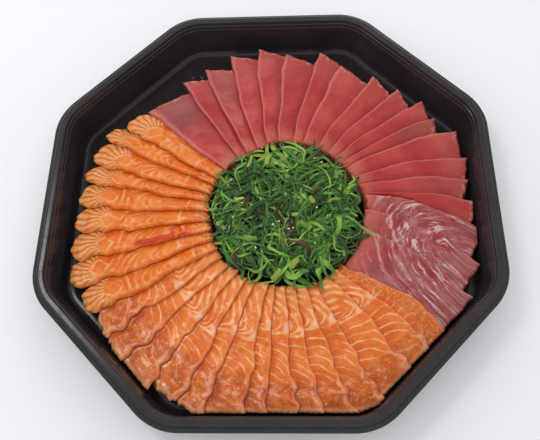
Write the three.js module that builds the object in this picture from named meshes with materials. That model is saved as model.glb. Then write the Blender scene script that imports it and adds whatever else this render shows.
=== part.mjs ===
// Sashimi plate: a black octagonal tray, a closed ring of fish slices laid like shingles, and a
// heap of seaweed salad in the middle. Millimetres, +Z up, origin on the ground under the tray.

import * as THREE from 'three';

// ---- Driving dimensions of the tray ----
const ACROSS_FLATS = 320;
const CORNER_CUT = 90; // what each corner takes off the sides of a square
const CORNER_RADIUS = 40;
const CORNER_STEPS = 4;
const TRAY_HEIGHT = 32;
const SHEET = 1.2; // thickness of the moulded sheet
const FOOT_WIDTH = 5;
const PANEL_TOP = 2.8; // the raised middle of the floor
const WALL_TOP = { inset: 10.1, z: 25.7 };
const WALL_FOOT = { inset: 12.9, z: 6 };

// ---- Driving dimensions of the food ----
const MIDDLE = { x: 12, y: -9 }; // the fan's middle lies a little off the tray's
const REST_GAP = 0.3;
const SLICE_GAP = 0.5;
const WALL_GAP = 1.0;
const HEAP_RADIUS = 54.5;
const HEAP_HEIGHT = 24.3;
const HEAP_SIDES = 30;
const LEAN_INNER = 60; // radii between which a slice's lean is measured
const LEAN_OUTER = 140;
const FIRST_EDGE = 140; // degrees anticlockwise from +X
const OVERLAP_INNER = 2.0; // how many steps of the ring one slice covers
const OVERLAP_OUTER = 1.6;
const LOBE_LIMIT = 1.3;
const LENGTH_CELLS = 7;

// Each kind of slice runs clockwise. steps: degrees from one raised edge to the next.
// lean: how far the inner end turns back, in degrees, on the first and the last slice.
// tips: how far each outer end lies beyond reach. slope and lobe: how far that end falls back
// clockwise, and towards both sides. rim: how thick the raised edge is, as a share of the slice.
// twist: extra degrees of lean, by slice number. bulge: how far a raised edge bows out, in mm.
const KINDS = [
  {
    name: 'tuna', colour: 0xb84545, step: 5.8, crown: 0.5, bevel: 0.1, inset: 2,
    reach: 140, slope: 7, lobe: 0, lean: [1, 14], rim: 0.5, twist: { 17: 7.5, 18: 5 },
    bulge: {},
    steps: [15, 8, 9, 9, 9, 11, 8, 12, 9, 8, 7, 6, 10, 8, 8, 9, 10, 10, 13],
    tips: [0, 3, 4, 9, 10, 3, 7, -2, -1, -1, 3, -1, 6, 2, -4, -1, 0, 0, 1],
  },
  {
    name: 'salmon_thin', colour: 0xd8824e, step: 5.4, crown: 0.7, bevel: 0.09, inset: 1.5,
    reach: 152, slope: 2, lobe: 1.5, lean: [-5, 0], rim: 0.42, twist: {},
    bulge: { 1: 9, 2: 5, 3: 3 },
    steps: [6, 8, 11, 8, 8, 7, 8, 6, 10, 7, 9, 9, 8, 7],
    tips: [0, 0, 0, 0, 0, 0, 0, 0, 0, -1, -2, 3, 1, -1],
  },
  {
    name: 'salmon_thick', colour: 0xd97f38, step: 6.4, crown: 0.9, bevel: 0.15, inset: 0.8,
    reach: 155, slope: 1, lobe: 6.5, lean: [0, 1], rim: 0.62, twist: {},
    bulge: {},
    steps: [8, 8, 8, 8, 8, 6, 8, 6, 9],
    tips: [0, 4, 1, -1, -1, 0, 0, 0, -9],
  },
];

const { lerp, clamp, degToRad } = THREE.MathUtils;

function material(colour, roughness) {
  return new THREE.MeshStandardMaterial({ color: colour, roughness, metalness: 0 });
}

// ---- Closed skins ----

function closedMesh(name, vertices, faces, look) {
  const geometry = new THREE.BufferGeometry();
  geometry.setAttribute('position', new THREE.Float32BufferAttribute(vertices.flat(), 3));
  geometry.setIndex(faces.flat());
  geometry.computeVertexNormals();
  const mesh = new THREE.Mesh(geometry, look);
  mesh.name = name;
  return mesh;
}

// Rings of equal length, from the middle of the top outwards, round and back under the bottom.
function skinRings(name, rings, topMiddle, bottomMiddle, look) {
  const count = rings[0].length;
  const vertices = [topMiddle, ...rings.flat(), bottomMiddle];
  const faces = [];
  const at = (ring, i) => 1 + ring * count + (i % count);
  for (let i = 0; i < count; i += 1) {
    faces.push([0, at(0, i), at(0, i + 1)]);
    for (let ring = 0; ring + 1 < rings.length; ring += 1) {
      faces.push([at(ring, i), at(ring + 1, i), at(ring + 1, i + 1)]);
      faces.push([at(ring, i), at(ring + 1, i + 1), at(ring, i + 1)]);
    }
    faces.push([vertices.length - 1, at(rings.length - 1, i + 1), at(rings.length - 1, i)]);
  }
  return closedMesh(name, vertices, faces, look);
}

// ---- Tray ----

// The eight sides: square ones and corner ones by turns, as a direction and a distance.
function traySide(index) {
  const angle = (index * Math.PI) / 4;
  const distance = index % 2 === 0 ? ACROSS_FLATS / 2 : (ACROSS_FLATS - CORNER_CUT) / Math.SQRT2;
  return { angle, distance, x: Math.cos(angle), y: Math.sin(angle) };
}

// The middle of the rounding between side index and the next one.
function cornerMiddle(index) {
  const a = traySide(index);
  const b = traySide(index + 1);
  const cosine = Math.cos(Math.PI / 4);
  const alongA = a.distance - CORNER_RADIUS;
  const alongB = b.distance - CORNER_RADIUS;
  const shareA = (alongA - alongB * cosine) / (1 - cosine * cosine);
  const shareB = (alongB - alongA * cosine) / (1 - cosine * cosine);
  return { x: shareA * a.x + shareB * b.x, y: shareA * a.y + shareB * b.y };
}

function trayRing(inset, z) {
  const ring = [];
  for (let index = 0; index < 8; index += 1) {
    const middle = cornerMiddle(index);
    const radius = CORNER_RADIUS - inset;
    for (let i = 0; i <= CORNER_STEPS; i += 1) {
      const angle = traySide(index).angle + ((i / CORNER_STEPS) * Math.PI) / 4;
      ring.push([middle.x + radius * Math.cos(angle), middle.y + radius * Math.sin(angle), z]);
    }
  }
  return ring;
}

// The section, as insets from the outer edge and heights: the floor, the wall, the seat for the
// lid, the flange with its bead, the outer lip, and back along the underside.
function buildTray() {
  const top = TRAY_HEIGHT;
  const upper = [
    [21.2, PANEL_TOP], [19.4, SHEET], [17, SHEET], [15, 1.7], [13.6, 3.4],
    [WALL_FOOT.inset, WALL_FOOT.z], [WALL_TOP.inset, WALL_TOP.z],
    [9.6, top - 5.9], [9.3, top - 3.4], [8.5, top - 3], [8.1, top - 0.7], [7.5, top - 0.3],
    [5.1, top - 0.3], [4.3, top], [3.5, top - 0.5], [2.8, top - 2.2], [0.5, top - 2.4], [0, top - 3],
  ];
  const under = [
    [0, top - 5], [SHEET, top - 5], [SHEET + 0.1, top - 3.6], [3.6, top - 3.3], [4.6, top - 1.6],
    [6.8, top - 1.6], [7.2, top - 4.2], [8.2, top - 4.6], [8.5, top - 7],
    [WALL_TOP.inset - SHEET, WALL_TOP.z - 1], [WALL_FOOT.inset - SHEET, WALL_FOOT.z],
    [12.4, 2.8], [14, 0.5], [15.4, 0], [15.4 + FOOT_WIDTH, 0], [21.8, PANEL_TOP - SHEET],
  ];
  const rings = [...upper, ...under].map(([inset, z]) => trayRing(inset, z));
  const look = material(0x262426, 0.25);
  return skinRings('tray', rings, [0, 0, PANEL_TOP], [0, 0, PANEL_TOP - SHEET], look);
}

// ---- Room for the food ----

function wallInset(z) {
  if (z < WALL_FOOT.z) return lerp(13.8, WALL_FOOT.inset, clamp(z - 3, 0, 3) / 3);
  const share = clamp((z - WALL_FOOT.z) / (WALL_TOP.z - WALL_FOOT.z), 0, 1);
  return lerp(WALL_FOOT.inset, WALL_TOP.inset, share);
}

// How far a ray from the fan's middle runs, at a height, before it comes close to the wall.
function reachToWall(angle, z) {
  const inset = wallInset(z) + WALL_GAP;
  const ray = { x: Math.cos(angle), y: Math.sin(angle) };
  let reach = Infinity;
  const meet = (x, y, distance) => {
    const slant = x * ray.x + y * ray.y;
    const room = distance - inset - (x * MIDDLE.x + y * MIDDLE.y);
    if (slant > 0) reach = Math.min(reach, room / slant);
  };
  for (let index = 0; index < 8; index += 1) {
    const side = traySide(index);
    meet(side.x, side.y, side.distance);
    const corner = cornerMiddle(index);
    const x = Math.cos(side.angle + Math.PI / 8);
    const y = Math.sin(side.angle + Math.PI / 8);
    meet(x, y, corner.x * x + corner.y * y + CORNER_RADIUS);
  }
  return reach;
}

function heapReach(angle) {
  return HEAP_RADIUS + 2.3 * Math.sin(angle) + 0.8 * Math.sin(5 * angle + 1) + 0.5 * Math.sin(9 * angle);
}

// ---- The ring of slices ----

// A repeatable number from -1 to 1 for each slice and purpose.
function nudge(index, purpose) {
  const wave = Math.sin(index * 12.9898 + purpose * 78.233) * 43758.5453;
  return 2 * (wave - Math.floor(wave)) - 1;
}

// Every slice in turn: its kind, where its raised edge lies at the outer end, and its lean.
function layOutRing() {
  const ring = [];
  let edge = FIRST_EDGE;
  for (const kind of KINDS) {
    kind.steps.forEach((step, i) => {
      const share = i / (kind.steps.length - 1);
      const lean = lerp(kind.lean[0], kind.lean[1], share) + (kind.twist[i + 1] ?? 0);
      ring.push({ kind, number: i + 1, edge, lean, bulge: kind.bulge[i + 1] ?? 0 });
      edge -= step;
    });
  }
  return ring;
}

const RING = layOutRing();

function edgeAngle(index, radius) {
  const turns = Math.floor(index / RING.length);
  const slice = RING[index - turns * RING.length];
  const share = (LEAN_OUTER - radius) / (LEAN_OUTER - LEAN_INNER);
  const bow = (slice.bulge * Math.sin(Math.PI * clamp(share, 0, 1))) / radius;
  return degToRad(slice.edge + slice.lean * share - 360 * turns) + bow;
}

// The angle of a place in the ring, counted in slices: whole numbers are raised edges.
function ringAngle(place, radius) {
  const index = Math.floor(place);
  return lerp(edgeAngle(index, radius), edgeAngle(index + 1, radius), place - index);
}

function stepHeight(place) {
  const index = Math.floor(place);
  const height = (i) => RING[((i % RING.length) + RING.length) % RING.length].kind.step;
  return lerp(height(index), height(index + 1), place - index);
}

function overlap(radius) {
  const share = clamp((radius - LEAN_INNER) / (LEAN_OUTER - LEAN_INNER), 0, 1.2);
  return lerp(OVERLAP_INNER, OVERLAP_OUTER, share);
}

// The height of a slice's underside. Each slice lies one step above the one before it.
function bedHeight(index, place, radius) {
  const rise = overlap(radius) - (place - index);
  return PANEL_TOP + REST_GAP + stepHeight(place) * Math.max(rise, 0);
}

// Where a slice's inner and outer ends lie, across its width.
function sliceEnds(index, across) {
  const { kind, number } = RING[index];
  const aside = Math.min((across - 0.5) / 0.5, LOBE_LIMIT);
  const outer = kind.reach + kind.tips[number - 1] - kind.slope * across - kind.lobe * aside ** 2;
  const inner = kind.inset * (1 + nudge(index, 2)) * 0.6 + 1.2;
  return { inner, outer };
}

function slicePoint(index, across, along, lift, shrink) {
  const place = index + across;
  const ends = sliceEnds(index, across);
  const outerBed = bedHeight(index, place, LEAN_OUTER);
  const outer = Math.min(ends.outer, reachToWall(ringAngle(place, LEAN_OUTER), outerBed + lift));
  const inner = heapReach(ringAngle(place, LEAN_INNER)) + ends.inner;
  const radius = lerp(inner + shrink, outer - shrink, along);
  const angle = ringAngle(place, radius);
  return [
    MIDDLE.x + radius * Math.cos(angle),
    MIDDLE.y + radius * Math.sin(angle),
    bedHeight(index, place, radius) + lift,
  ];
}

// A slice is a bent slab: its raised edge is bevelled and its open band is a little crowned.
function buildSlice(index) {
  const { kind, number } = RING[index];
  const columns = 5;
  const upper = [];
  const lower = [];
  for (let row = 0; row <= LENGTH_CELLS; row += 1) {
    const along = row / LENGTH_CELLS;
    const wide = overlap(lerp(LEAN_INNER, LEAN_OUTER, along));
    const belowPlaces = [0, 0.5, 1, (1 + wide) / 2, wide];
    const abovePlaces = [kind.bevel, 0.5, 1, (1 + wide) / 2, wide - 0.05];
    for (let i = 0; i < columns; i += 1) {
      const full = stepHeight(index + abovePlaces[i]) - SLICE_GAP;
      const thick = full * lerp(kind.rim, 1, Math.min(abovePlaces[i], 1));
      const crown = kind.crown * Math.sin(Math.PI * Math.min(abovePlaces[i], 1));
      upper.push(slicePoint(index, abovePlaces[i], along, thick + crown, 1));
      lower.push(slicePoint(index, belowPlaces[i], along, 0, 0));
    }
  }
  const count = upper.length;
  const faces = [];
  const quad = (a, b, c, d) => faces.push([a, b, c], [a, c, d]);
  const at = (row, i) => row * columns + i;
  for (let row = 0; row < LENGTH_CELLS; row += 1) {
    for (let i = 0; i + 1 < columns; i += 1) {
      const [a, b, c, d] = [at(row, i), at(row, i + 1), at(row + 1, i + 1), at(row + 1, i)];
      quad(a, b, c, d);
      faces.push([count + a, count + c, count + b], [count + a, count + d, count + c]);
    }
    quad(at(row + 1, 0), count + at(row + 1, 0), count + at(row, 0), at(row, 0));
    const last = columns - 1;
    quad(at(row, last), count + at(row, last), count + at(row + 1, last), at(row + 1, last));
  }
  for (let i = 0; i + 1 < columns; i += 1) {
    const end = LENGTH_CELLS;
    quad(at(0, i), count + at(0, i), count + at(0, i + 1), at(0, i + 1));
    quad(at(end, i + 1), count + at(end, i + 1), count + at(end, i), at(end, i));
  }
  const name = `${kind.name}_${String(number).padStart(2, '0')}`;
  return closedMesh(name, [...upper, ...lower], faces, material(kind.colour, 0.35));
}

// ---- Seaweed heap ----

function buildHeap() {
  const floor = PANEL_TOP + REST_GAP;
  const levels = [[0.3, 0.97], [0.55, 0.91], [0.78, 0.8], [0.93, 0.66], [1, 0.45]];
  const rings = [];
  const ringAt = (spread, height, rough) => {
    const ring = [];
    for (let i = 0; i < HEAP_SIDES; i += 1) {
      const angle = (i / HEAP_SIDES) * 2 * Math.PI;
      const lump = rough * (0.5 + 0.5 * Math.sin(4 * angle + 9 * spread) * Math.cos(7 * angle));
      const radius = heapReach(angle) * spread;
      const x = MIDDLE.x + radius * Math.cos(angle);
      ring.push([x, MIDDLE.y + radius * Math.sin(angle), height - lump]);
    }
    return ring;
  };
  for (const [spread, height] of levels) {
    rings.push(ringAt(spread, floor + HEAP_HEIGHT * height, 1.6));
  }
  rings.push(ringAt(1, floor, 0));
  const topMiddle = [MIDDLE.x, MIDDLE.y, floor + HEAP_HEIGHT];
  const look = material(0x1f5a22, 0.3);
  return skinRings('seaweed_heap', rings, topMiddle, [MIDDLE.x, MIDDLE.y, floor], look);
}

const plate = new THREE.Group();
plate.add(buildTray());
plate.add(buildHeap());
RING.forEach((slice, index) => plate.add(buildSlice(index)));

export default plate;
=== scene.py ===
# %% [markdown]
# # A sashimi plate
# A black octagonal tray holds a closed ring of raw fish slices, each laid on the one before it
# like a roof tile, round a heap of seaweed salad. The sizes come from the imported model, which
# gives every piece its place. Here each plain solid gets the shape and finish of the real thing.

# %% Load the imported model
import math

import bmesh
import bpy
import numpy as np
from mathutils import Matrix, Vector


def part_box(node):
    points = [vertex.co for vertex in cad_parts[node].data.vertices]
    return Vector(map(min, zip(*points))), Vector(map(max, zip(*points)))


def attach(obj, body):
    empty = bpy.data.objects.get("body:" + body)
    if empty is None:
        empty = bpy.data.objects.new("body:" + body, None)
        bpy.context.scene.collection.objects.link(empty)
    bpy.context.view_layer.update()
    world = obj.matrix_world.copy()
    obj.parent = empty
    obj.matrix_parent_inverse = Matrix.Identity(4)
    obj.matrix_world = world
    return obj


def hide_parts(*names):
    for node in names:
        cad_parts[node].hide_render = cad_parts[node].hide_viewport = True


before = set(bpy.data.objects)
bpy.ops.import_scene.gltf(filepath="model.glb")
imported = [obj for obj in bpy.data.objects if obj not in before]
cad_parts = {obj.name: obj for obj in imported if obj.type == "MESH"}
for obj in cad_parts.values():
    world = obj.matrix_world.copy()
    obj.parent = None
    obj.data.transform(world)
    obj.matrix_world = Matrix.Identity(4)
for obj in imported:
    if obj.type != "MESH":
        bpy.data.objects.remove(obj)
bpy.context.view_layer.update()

MM = 0.001

# %% [markdown]
# ## Camera
# The plate was seen from the near side, steeply from above, with the camera a little turned and
# tilted. The stand-off is counted in tray widths along the camera's own axes, so the framing
# follows the tray.

# %% Camera
low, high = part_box("tray")
TRAY_WIDTH = high[0] - low[0]
RIM = high[2]
CAMERA_TURN = math.radians(5.95)
CAMERA_TIP = math.radians(23.65)
CAMERA_ROLL = math.radians(-6.13)
CAMERA_STAND_OFF = Vector((0.005, -0.059, 1.385)) * TRAY_WIDTH
LENS = 42.14

camera = bpy.data.objects.new("camera", bpy.data.cameras.new("camera"))
bpy.context.collection.objects.link(camera)
turn = Matrix.Rotation(CAMERA_TURN, 4, "Z") @ Matrix.Rotation(CAMERA_TIP, 4, "X")
turn = turn @ Matrix.Rotation(CAMERA_ROLL, 4, "Z")
camera.matrix_world = Matrix.Translation((0, 0, RIM)) @ turn @ Matrix.Translation(CAMERA_STAND_OFF)
camera.data.lens = LENS
camera.data.sensor_width = 36
camera.data.clip_start = 0.01
bpy.context.scene.camera = camera
print("camera at", [round(v, 3) for v in camera.matrix_world.translation])

# %% [markdown]
# ## Node helpers
# Materials, shader groups and Geometry Nodes trees are all node trees. One helper adds a node,
# sets its options and fills its inputs with numbers or with links, so that a pattern can be
# written like a formula.

# %% Node helpers
def add(tree, kind, inputs=None, **options):
    """Adds a node. inputs maps a socket's name or number to a value or an output to link."""
    node = tree.nodes.new(kind)
    for option, value in options.items():
        setattr(node, option, value)
    for key, value in (inputs or {}).items():
        if isinstance(key, int):
            socket = node.inputs[key]
        else:
            socket = next(s for s in node.inputs if s.name == key and s.enabled)
        if isinstance(value, bpy.types.NodeSocket):
            tree.links.new(value, socket)
        else:
            socket.default_value = value
    return node


def out(node, name=None):
    """The first output in use, or the one with this name."""
    return next(s for s in node.outputs if s.enabled and name in (None, s.name))


def calc(tree, operation, *values, clamp=False):
    node = add(tree, "ShaderNodeMath", dict(enumerate(values)), operation=operation)
    node.use_clamp = clamp
    return node.outputs[0]


def ease(tree, value, start, end, first=0.0, last=1.0):
    """Runs smoothly from first to last while value runs from start to end."""
    inputs = {"Value": value, "From Min": start, "From Max": end, "To Min": first, "To Max": last}
    return out(add(tree, "ShaderNodeMapRange", inputs, interpolation_type="SMOOTHSTEP"))


def mix(tree, share, first, second, mode="MIX"):
    node = add(tree, "ShaderNodeMix", {0: share, 6: first, 7: second}, data_type="RGBA")
    node.blend_type = mode
    return node.outputs[2]


def noise(tree, vector, scale, detail=2.0, rough=0.5, distortion=0.0):
    inputs = {"Vector": vector, "Scale": scale, "Detail": detail, "Roughness": rough}
    inputs["Distortion"] = distortion
    return out(add(tree, "ShaderNodeTexNoise", inputs))


def colour(red, green, blue):
    """A colour as the eye names it, from 0 to 255, turned into light values."""
    def light(value):
        value = value / 255
        return value / 12.92 if value <= 0.04045 else ((value + 0.055) / 1.055) ** 2.4
    return (light(red), light(green), light(blue), 1.0)


def new_group(name, kind, inputs, outputs):
    """A node group with named sockets. Returns the tree, its inputs and its output node."""
    tree = bpy.data.node_groups.new(name, kind)
    for socket, (sort, value) in inputs.items():
        item = tree.interface.new_socket(socket, in_out="INPUT", socket_type=sort)
        if value is not None:
            item.default_value = value
    for socket, sort in outputs.items():
        tree.interface.new_socket(socket, in_out="OUTPUT", socket_type=sort)
    given = tree.nodes.new("NodeGroupInput")
    result = tree.nodes.new("NodeGroupOutput")
    return tree, {s.name: s for s in given.outputs if s.name}, result


def new_material(name):
    material = bpy.data.materials.new(name)
    material.use_nodes = True
    tree = material.node_tree
    return material, tree, tree.nodes["Principled BSDF"]


def use_group(tree, group, inputs):
    node = tree.nodes.new("ShaderNodeGroup")
    node.node_tree = group
    for name, value in inputs.items():
        if isinstance(value, bpy.types.NodeSocket):
            tree.links.new(value, node.inputs[name])
        else:
            node.inputs[name].default_value = value
    return node


def vector_calc(tree, operation, first, second=None, scale=None):
    inputs = {0: first}
    if second is not None:
        inputs[1] = second
    if scale is not None:
        inputs["Scale"] = scale
    return add(tree, "ShaderNodeVectorMath", inputs, operation=operation).outputs[0]


FLOAT = "NodeSocketFloat"
VECTOR = "NodeSocketVector"

# %% [markdown]
# ## A helper for objects
# Every lamp, table and piece is an object that holds its data and is linked to the scene. Blender
# takes two lines for that, so one small function does both.

# %% A helper for objects
def put_in(name, data):
    """A new object with this data, linked to the scene."""
    thing = bpy.data.objects.new(name, data)
    bpy.context.collection.objects.link(thing)
    return thing


# %% [markdown]
# ## Room and light
# The plate stands on a plain pale table in even light from all round. A small lamp at the left
# gives the wet fish its small glints, and a broad one behind gives the long soft streaks.

# %% Room and light
def area_lamp(name, place, aim, width, height, power):
    lamp = put_in(name, bpy.data.lights.new(name, "AREA"))
    lamp.data.shape = "RECTANGLE"
    lamp.data.size = width
    lamp.data.size_y = height
    lamp.data.energy = power
    lamp.location = place
    lamp.rotation_euler = (Vector(aim) - Vector(place)).to_track_quat("-Z", "Y").to_euler()


bpy.context.scene.view_settings.view_transform = "Standard"
world = bpy.data.worlds.new("room")
bpy.context.scene.world = world
world.use_nodes = True
world.node_tree.nodes["Background"].inputs["Color"].default_value = (0.97, 0.98, 1.0, 1)
world.node_tree.nodes["Background"].inputs["Strength"].default_value = 0.91
area_lamp("left lamp", (-0.45, 0.25, 0.9), (0, 0, 0), 0.2, 0.2, 1.6)
area_lamp("window behind", (0.1, 1.2, 0.8), (0, 0, 0), 0.9, 0.5, 2.2)

table_mesh = bpy.data.meshes.new("table")
table_mesh.from_pydata([(-4, -4, 0), (4, -4, 0), (4, 4, 0), (-4, 4, 0)], [], [(0, 1, 2, 3)])
table = put_in("table", table_mesh)
table_look, tree, shader = new_material("pale table")
where = out(add(tree, "ShaderNodeTexCoord"), "Object")
cloud = noise(tree, where, 3.0)
tree.links.new(mix(tree, cloud, colour(235, 235, 236), colour(239, 239, 240)), shader.inputs["Base Color"])
shader.inputs["Roughness"].default_value = 0.6
table_mesh.materials.append(table_look)

# %% [markdown]
# ## Shared finishes
# Three effects come back in several materials, so each is a shader group: a wet film whose gloss
# changes over the surface, the thin pale lines of fat where muscle sheets meet, and the place of
# a point inside its slice, which every flesh pattern is drawn on.

# %% Wet film
wet_film, given, result = new_group(
    "wet film", "ShaderNodeTree",
    {"Scale": (FLOAT, 200.0), "Dry": (FLOAT, 0.45), "Wet": (FLOAT, 0.2), "Relief": (FLOAT, 0.2)},
    {"Roughness": FLOAT, "Height": FLOAT})
where = out(add(wet_film, "ShaderNodeTexCoord"), "Object")
patches = ease(wet_film, noise(wet_film, where, given["Scale"], 3.0), 0.35, 0.65)
span = calc(wet_film, "SUBTRACT", given["Wet"], given["Dry"])
rough = calc(wet_film, "MULTIPLY_ADD", patches, span, given["Dry"])
wet_film.links.new(rough, result.inputs["Roughness"])
fine = noise(wet_film, where, calc(wet_film, "MULTIPLY", given["Scale"], 4.0), 2.0)
height = calc(wet_film, "MULTIPLY", calc(wet_film, "ADD", patches, fine), given["Relief"])
wet_film.links.new(height, result.inputs["Height"])

# %% Fat lines
fat_lines, given, result = new_group(
    "fat lines", "ShaderNodeTree",
    {"Phase": (FLOAT, 0.0), "Width": (FLOAT, 0.12), "Blur": (FLOAT, 0.12)}, {"Mask": FLOAT})
part = calc(fat_lines, "FRACT", given["Phase"])
gap = calc(fat_lines, "MINIMUM", part, calc(fat_lines, "SUBTRACT", 1.0, part))
edge = calc(fat_lines, "ADD", given["Width"], given["Blur"])
fat_lines.links.new(ease(fat_lines, gap, given["Width"], edge, 1.0, 0.0), result.inputs["Mask"])

# %% Flesh place
flesh_place, given, result = new_group(
    "flesh place", "ShaderNodeTree", {"Wander": (FLOAT, 1.0), "Wander size": (FLOAT, 0.08)},
    {"Vector": VECTOR, "Across": FLOAT, "Along": FLOAT, "Depth": FLOAT, "Share": FLOAT,
     "Run": FLOAT, "Seed": FLOAT})
millimetres = out(add(flesh_place, "ShaderNodeAttribute", attribute_name="flesh_mm"), "Vector")
lay = out(add(flesh_place, "ShaderNodeAttribute", attribute_name="lay"), "Vector")
lay_parts = add(flesh_place, "ShaderNodeSeparateXYZ", {0: lay})
SEED_SPREAD = 90.0  # how far apart in the noise the slices' patterns lie
shift = add(flesh_place, "ShaderNodeCombineXYZ",
            {2: calc(flesh_place, "MULTIPLY", lay_parts.outputs[2], SEED_SPREAD)})
own = vector_calc(flesh_place, "ADD", millimetres, shift.outputs[0])
drift = add(flesh_place, "ShaderNodeTexNoise",
            {"Vector": own, "Scale": given["Wander size"], "Detail": 2.0})
centred = vector_calc(flesh_place, "SUBTRACT", drift.outputs["Color"], (0.5, 0.5, 0.5))
sized = vector_calc(flesh_place, "SCALE", centred, scale=given["Wander"])
moved = vector_calc(flesh_place, "ADD", millimetres, sized)
parts = add(flesh_place, "ShaderNodeSeparateXYZ", {0: moved})
flesh_place.links.new(own, result.inputs["Vector"])
for number, name in enumerate(("Across", "Along", "Depth")):
    flesh_place.links.new(parts.outputs[number], result.inputs[name])
for number, name in enumerate(("Share", "Run", "Seed")):
    flesh_place.links.new(lay_parts.outputs[number], result.inputs[name])
print("shared groups:", [g.name for g in bpy.data.node_groups])

# %% [markdown]
# ## Tray
# The tray is one sheet of black plastic drawn over a mould, so its section is the same all round.
# A section swept along the rim's outline makes it in one go: Geometry Nodes rounds the outline's
# eight corners, rounds the section's small folds, and sweeps one along the other. Only the flat
# floor and its underside are closed by hand afterwards.

# %% Tray outline and section
CORNER_CUT = 90 * MM
CORNER_RADIUS = 40 * MM
SHEET = 1.2
PANEL_TOP = 2.8
WALL_TOP = (10.1, 25.7)
WALL_FOOT = (12.9, 6.0)
rim = RIM / MM

outline = []
half = TRAY_WIDTH / 2
for x_sign, y_sign in ((1, 1), (-1, 1), (-1, -1), (1, -1)):
    corner = [(half, half - CORNER_CUT), (half - CORNER_CUT, half)]
    if x_sign * y_sign < 0:
        corner.reverse()
    outline += [(x * x_sign, y * y_sign, 0) for x, y in corner]

section = [
    (21.2, PANEL_TOP), (19.4, SHEET), (17, SHEET), (15, 1.7), (13.6, 3.4), WALL_FOOT, WALL_TOP,
    (9.6, rim - 5.9), (9.3, rim - 3.4), (8.5, rim - 3), (8.1, rim - 0.7), (7.5, rim - 0.3),
    (5.1, rim - 0.3), (4.3, rim), (3.5, rim - 0.5), (2.8, rim - 2.2), (0.5, rim - 2.4), (0, rim - 3),
    (0, rim - 5), (SHEET, rim - 5), (SHEET + 0.1, rim - 3.6), (3.6, rim - 3.3), (4.6, rim - 1.6),
    (6.8, rim - 1.6), (7.2, rim - 4.2), (8.2, rim - 4.6), (8.5, rim - 7),
    (WALL_TOP[0] - SHEET, WALL_TOP[1] - 1), (WALL_FOOT[0] - SHEET, WALL_FOOT[1]),
    (12.4, 2.8), (14, 0.5), (15.4, 0), (20.4, 0), (21.8, PANEL_TOP - SHEET),
]


def poly_curve(name, points, closed):
    data = bpy.data.curves.new(name, "CURVE")
    data.dimensions = "3D"
    spline = data.splines.new("POLY")
    spline.points.add(len(points) - 1)
    for point, place in zip(spline.points, points):
        point.co = (*place, 1)
    spline.use_cyclic_u = closed
    return put_in(name, data)


outline_curve = poly_curve("tray outline", outline, True)
section_curve = poly_curve("tray section", [(-x * MM, -z * MM, 0) for x, z in section], False)
print("section points:", len(section), "outline corners:", len(outline))

# %% Sweep tree
def tree_result(tree, result, geometry, material):
    """Ends a Geometry Nodes tree: real geometry with its material."""
    real = add(tree, "GeometryNodeRealizeInstances", {"Geometry": geometry})
    done = add(tree, "GeometryNodeSetMaterial", {"Geometry": out(real), "Material": material})
    tree.links.new(out(done), result.inputs["Geometry"])


sweep, given, result = new_group(
    "moulded sheet", "GeometryNodeTree",
    {"Geometry": ("NodeSocketGeometry", None), "Section": ("NodeSocketObject", None),
     "Corner radius": (FLOAT, 0.04), "Fold radius": (FLOAT, 0.0004),
     "Corner steps": ("NodeSocketInt", 12), "Material": ("NodeSocketMaterial", None)},
    {"Geometry": "NodeSocketGeometry"})
rounded = add(sweep, "GeometryNodeFilletCurve",
              {"Curve": given["Geometry"], "Radius": given["Corner radius"]}, mode="POLY")
sweep.links.new(given["Corner steps"], rounded.inputs["Count"])
info = add(sweep, "GeometryNodeObjectInfo", {"Object": given["Section"]})
folds = add(sweep, "GeometryNodeFilletCurve",
            {"Curve": out(info, "Geometry"), "Radius": given["Fold radius"], "Limit Radius": True},
            mode="POLY")
folds.inputs["Count"].default_value = 3
swept = add(sweep, "GeometryNodeCurveToMesh", {"Curve": out(rounded), "Profile Curve": out(folds)})
smooth = add(sweep, "GeometryNodeSetShadeSmooth", {"Geometry": out(swept)})
tree_result(sweep, result, out(smooth), given["Material"])


def grow(thing, tree, values, name):
    """Runs a Geometry Nodes tree on an object and returns the result as a plain new piece."""
    modifier = thing.modifiers.new("grow", "NODES")
    modifier.node_group = tree
    for item in tree.interface.items_tree:
        if item.item_type == "SOCKET" and item.in_out == "INPUT" and item.name in values:
            modifier[item.identifier] = values[item.name]
    depsgraph = bpy.context.evaluated_depsgraph_get()
    mesh = bpy.data.meshes.new_from_object(thing.evaluated_get(depsgraph), depsgraph=depsgraph)
    thing.modifiers.remove(modifier)
    mesh.name = name
    return put_in(name, mesh)


# %% [markdown]
# The plastic is near black and glossy, with a faint haze, and the gloss is broken by the light
# handling marks that such trays always carry.

# %% Tray plastic
def tray_plastic():
    material, tree, shader = new_material("black tray plastic")
    where = out(add(tree, "ShaderNodeTexCoord"), "Object")
    haze_and_sheen = noise(tree, where, 18.0, 4.0, 0.6)
    base = mix(tree, ease(tree, haze_and_sheen, 0.3, 0.7), colour(38, 33, 35), colour(46, 41, 43))
    tree.links.new(base, shader.inputs["Base Color"])
    scuffs = noise(tree, where, 260.0, 3.0, 0.7, 1.5)
    rough = calc(tree, "MULTIPLY_ADD", ease(tree, scuffs, 0.5, 0.72), 0.14, 0.2)
    tree.links.new(rough, shader.inputs["Roughness"])
    ripple = add(tree, "ShaderNodeBump", {"Height": noise(tree, where, 30.0, 1.0),
                                          "Strength": 0.2, "Distance": 0.002})
    tree.links.new(out(ripple), shader.inputs["Normal"])
    shader.inputs["Specular IOR Level"].default_value = 0.3
    return material


# %% Make the tray
tray_look = tray_plastic()
tray = grow(outline_curve, sweep, {
    "Section": section_curve, "Corner radius": CORNER_RADIUS, "Fold radius": 0.35 * MM,
    "Corner steps": 14, "Material": tray_look}, "moulded_tray")


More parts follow.
